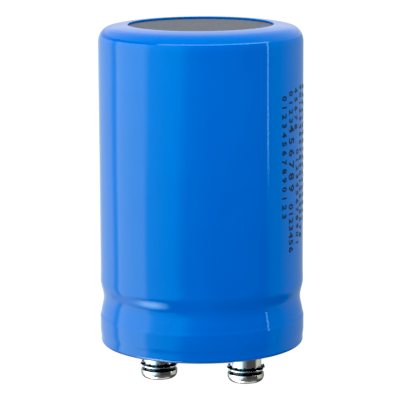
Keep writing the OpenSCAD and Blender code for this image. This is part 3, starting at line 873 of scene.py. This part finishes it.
def split_points(axis_x):
    """The section carried from one face of the cut to the other. The cut leans, so each point's angle
    shifts with its height times the slant's tangent over its radius, and the ends spring apart by
    a few hundredths of a millimetre."""
    section = round_off(box_outline(WASHER_IN, LOCK_R, LOCK_Z, LOCK_T), (0.08, 0.14, 0.14, 0.08))
    share = np.linspace(0, 1, 120)[None]
    r, z = section[:, :1], section[:, 1:]
    gap = 0.29 / r
    lean = (z - LOCK_Z - LOCK_T / 2) * np.tan(np.radians(30)) / r
    angle = np.radians(-135) + gap - lean + share * (2 * np.pi - 2 * gap)
    spring = 0.03 * (1 - share) * np.clip((LOCK_Z + LOCK_T - z) / LOCK_T, 0, 1)
    return np.stack([axis_x + r * np.cos(angle), r * np.sin(angle), z + spring], -1)


for side, sign in (("left", -1), ("right", 1)):
    axis_x = sign * TERMINAL_X
    mesh = skin(f"split_washer_{side}", split_points(axis_x), True, False, sharp=38)
    piece(f"split_washer_{side}", mesh, washer_metal_painted_dark, [f"lock_washer_{side}"])
    section = round_off(box_outline(WASHER_IN, FLAT_R, FLAT_Z, FLAT_T), (0.05, 0.05, 0.16, 0.12))
    mesh = skin(f"plain_washer_{side}", lathe(section, 128, axis_x), True, sharp=38)
    piece(f"plain_washer_{side}", mesh, zinc, [f"flat_washer_{side}"])

# %% Star washers
STAR_Z, STAR_T, STAR_ROOT, STAR_TIP = 3.55, 0.45, 3.9, 4.8
TEETH, TOOTH_HALF, STAR_TWIST = 10, 0.75, np.radians(13)


def star_points(axis_x):
    """The outline of one tooth is its root, its straight side, its tip and back, and ten turns of it
    go round. Each row lies between the hole's circle and the outline. Beyond the plain washer's
    edge a point turns about its tooth's own middle line, by the twist times a smooth step of its
    distance out, so sideways and upwards become each other's sine and cosine."""
    pitch = 2 * np.pi / TEETH
    side_r = np.linspace(STAR_ROOT + 0.25, STAR_TIP - 0.08, 6)
    side = np.stack([side_r, np.full(6, -TOOTH_HALF)], -1)
    tip = np.stack([np.full(5, STAR_TIP), np.linspace(-TOOTH_HALF + 0.08, TOOTH_HALF - 0.08, 5)], -1)
    root_turn = np.linspace(-pitch / 2, -1.16 * TOOTH_HALF / STAR_ROOT, 3)
    root = np.stack([STAR_ROOT * np.cos(root_turn), STAR_ROOT * np.sin(root_turn)], -1)
    tooth = np.vstack([root, side, tip, (side * [1, -1])[::-1], (root * [1, -1])[::-1][:-1]])
    middle = pitch * (np.arange(TEETH) + 0.5)
    whole = (np.exp(1j * middle)[:, None] * (tooth[:, 0] + 1j * tooth[:, 1])[None]).ravel()
    centre_line = np.repeat(middle, len(tooth))
    start = np.angle(whole[0])
    hole = WASHER_IN * np.exp(1j * (start + 2 * np.pi * np.arange(len(whole)) / len(whole)))
    share = np.array([0, 0.02, 0.25, 0.5, 0.7, 0.85, 0.95, 0.985, 1.0])
    flat = hole[None] * (1 - share[:, None]) + whole[None] * share[:, None]
    half = STAR_T / 2
    inset = np.array([half - 0.05] + [half] * 6 + [half - 0.02, half - 0.08])
    plan = np.vstack([flat, flat[::-1]])
    level = np.r_[inset, -inset[::-1]][:, None] + 0 * plan.real
    local = plan * np.exp(-1j * centre_line)[None]
    reach = np.clip((local.real - 4.42) / 0.35, 0, 1)
    twist = STAR_TWIST * reach * reach * (3 - 2 * reach)
    sideways = local.imag * np.cos(twist) - level * np.sin(twist)
    upwards = local.imag * np.sin(twist) + level * np.cos(twist)
    plan = (local.real + 1j * sideways) * np.exp(1j * centre_line)[None]
    return np.stack([axis_x + plan.real, plan.imag, STAR_Z + half + upwards], -1)


print("one star washer's grid:", star_points(TERMINAL_X).shape)

# %% Both star washers
for side, sign in (("left", -1), ("right", 1)):
    mesh = skin(f"tooth_washer_{side}", star_points(sign * TERMINAL_X), True, sharp=38)
    piece(f"tooth_washer_{side}", mesh, washer_metal_painted_dark, [f"star_washer_{side}"])

# %% [markdown]
# ## Board, resin and rubber
#
# The disc at the closed end is matt grey vulcanised fibre. The header is dark moulded phenolic with
# a faint flow of paler filler, and the gasket and the vent plug are rubber with a dry bloom. They
# could all be one grey with different numbers, but each has its own grain, so each gets its
# own small tree.

# %% Fibre and card
def board(name, dark, light, fibre, depth, rough=0.85):
    """A pressed board: long fibres lie flat in every direction, and the colour follows them."""
    material, tree, shader, place = coat(name, Roughness=rough, Specular_IOR_Level=0.3)
    one = use(tree, streaks, Vector=stretched(tree, place, 1.0, 0.12, 1.0), Across=fibre, Along=fibre)
    two = use(tree, streaks, Vector=stretched(tree, place, 0.12, 1.0, 1.0), Across=fibre, Along=fibre)
    mesh_of = maths(tree, "MULTIPLY", maths(tree, "ADD", one, two), 0.5)
    mask = span(tree, mesh_of, 0.36, 0.64)
    tree.links.new(blend_colours(tree, mask, (*dark, 1), (*light, 1)), shader.inputs["Base Color"])
    raise_by(tree, shader, (mesh_of, depth))
    return material


fibre = board("grey_fibre", (0.145, 0.151, 0.175), (0.188, 0.197, 0.227), 1800.0, 0.02)
card = board("insulating_card", (0.36, 0.27, 0.16), (0.50, 0.39, 0.25), 1500.0, 0.03)
nodes["end_disc"].material_slots[0].material = fibre
for name in ("tab_disc", "base_disc"):
    nodes[name].material_slots[0].material = card
print("boards:", fibre.name, card.name)

# %% Resin and rubber
phenolic, tree, shader, place = coat("moulded_phenolic", IOR=1.6)
flow = use(tree, clouds, Vector=stretched(tree, place, 1.0, 1.0, 0.4), Scale=260.0, Detail=5.0)
specks = span(tree, noise(tree, place, 2600.0, 1.0), 0.66, 0.72)
body = blend_colours(tree, flow, (0.014, 0.012, 0.011, 1), (0.034, 0.026, 0.020, 1))
tree.links.new(blend_colours(tree, specks, body, (0.10, 0.075, 0.05, 1)), shader.inputs["Base Color"])
tree.links.new(span(tree, flow, 0, 1, 0.28, 0.42), shader.inputs["Roughness"])
raise_by(tree, shader, (noise(tree, place, 1400.0), 0.008))

rubbers = []
for name, dark, light, rough in (("gasket_rubber", 0.012, 0.026, (0.55, 0.72)),
                                 ("vent_rubber", 0.05, 0.085, (0.5, 0.65))):
    material, tree, shader, place = coat(name, Sheen_Weight=0.15)
    bloom = use(tree, clouds, Vector=place, Scale=420.0, Detail=4.0)
    tree.links.new(blend_colours(tree, bloom, grey(dark), grey(light)), shader.inputs["Base Color"])
    tree.links.new(span(tree, bloom, 0, 1, *rough), shader.inputs["Roughness"])
    raise_by(tree, shader, (noise(tree, place, 3500.0), 0.01))
    rubbers.append(material)
for name, material in zip(("header", "gasket", "vent_plug"), (phenolic, *rubbers)):
    nodes[name].material_slots[0].material = material
print("header, gasket and vent finished")

# %% [markdown]
# ## The roll inside
#
# The wound element is hundreds of turns of foil and soaked paper. Its flat ends show the turns as a
# close spiral, and its side is one sheet of paper under a tape. The turns are one solid in the CAD,
# so the spiral is drawn in its finish: the radius less the share of a turn, counted in pitches.

# %% Paper and tape
TURN_PITCH = 0.26

paper, tree, shader, place = coat("wound_paper", Roughness=0.6)
axes = put(tree, "ShaderNodeSeparateXYZ", {0: place}).outputs
flat = put(tree, "ShaderNodeCombineXYZ", {0: axes["X"], 1: axes["Y"]}).outputs[0]
radius = put(tree, "ShaderNodeVectorMath", {0: flat}, operation="LENGTH").outputs["Value"]
share = maths(tree, "DIVIDE", maths(tree, "ARCTAN2", axes["Y"], axes["X"]), 2 * np.pi)
turns = maths(tree, "SUBTRACT", maths(tree, "DIVIDE", radius, TURN_PITCH * MM), share)
edge = maths(tree, "ABSOLUTE", maths(tree, "SUBTRACT", maths(tree, "FRACT", turns), 0.5))
foil = span(tree, edge, 0.36, 0.42)
on_end = span(tree, maths(tree, "ABSOLUTE", put(tree, "ShaderNodeSeparateXYZ", {
    0: put(tree, "ShaderNodeNewGeometry").outputs["Normal"]}).outputs["Z"]), 0.7, 0.9)
foil = maths(tree, "MULTIPLY", foil, on_end)
sheet = use(tree, clouds, Vector=place, Scale=200.0, Detail=5.0)
sheet = blend_colours(tree, sheet, (0.42, 0.33, 0.22, 1), (0.55, 0.45, 0.31, 1))
tree.links.new(blend_colours(tree, foil, sheet, (0.62, 0.62, 0.63, 1)), shader.inputs["Base Color"])
tree.links.new(foil, shader.inputs["Metallic"])
raise_by(tree, shader, (maths(tree, "ADD", foil, noise(tree, place, 2500.0)), 0.03))
nodes["winding"].material_slots[0].material = paper

tape, tree, shader, place = coat("wrap_tape", IOR=1.5)
weave = use(tree, streaks, Vector=place, Across=1200.0, Along=1200.0)
tree.links.new(blend_colours(tree, weave, (0.60, 0.52, 0.33, 1), (0.72, 0.65, 0.46, 1)),
               shader.inputs["Base Color"])
tree.links.new(span(tree, weave, 0.3, 0.7, 0.25, 0.45), shader.inputs["Roughness"])
raise_by(tree, shader, (weave, 0.01))
nodes["winding_wrap"].material_slots[0].material = tape
print("roll and tape finished")
